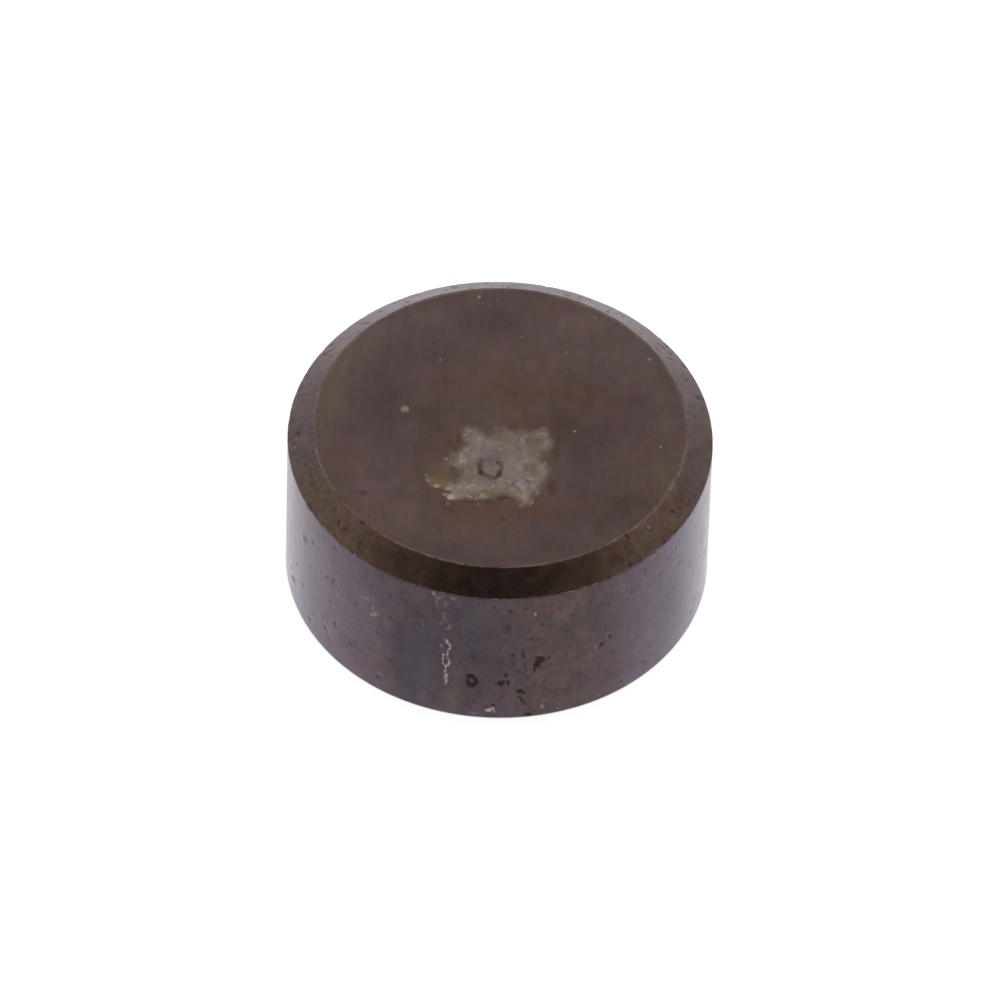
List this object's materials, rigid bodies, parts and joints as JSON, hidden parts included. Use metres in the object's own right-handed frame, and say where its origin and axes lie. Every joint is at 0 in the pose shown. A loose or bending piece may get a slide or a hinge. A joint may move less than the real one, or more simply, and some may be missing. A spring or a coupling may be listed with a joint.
{
  "type": "valve shim",
  "caption": "Round solid steel valve clearance shim, a thick flat disc with a chamfered upper rim.",
  "frame": {"origin": "centre of the lower flat face", "axes": "+Z along the turning axis, towards the chamfered upper face; -Y towards the side that carries the scratch"},
  "size_m": [0.0074, 0.0074, 0.0035],
  "materials": {
    "dark_steel": "hardened and ground steel, browned by heat and oil, with small pits and a bare patch"
  },
  "bodies": {
    "root": {"valve_shim": "dark_steel"}
  },
  "joints": []
}
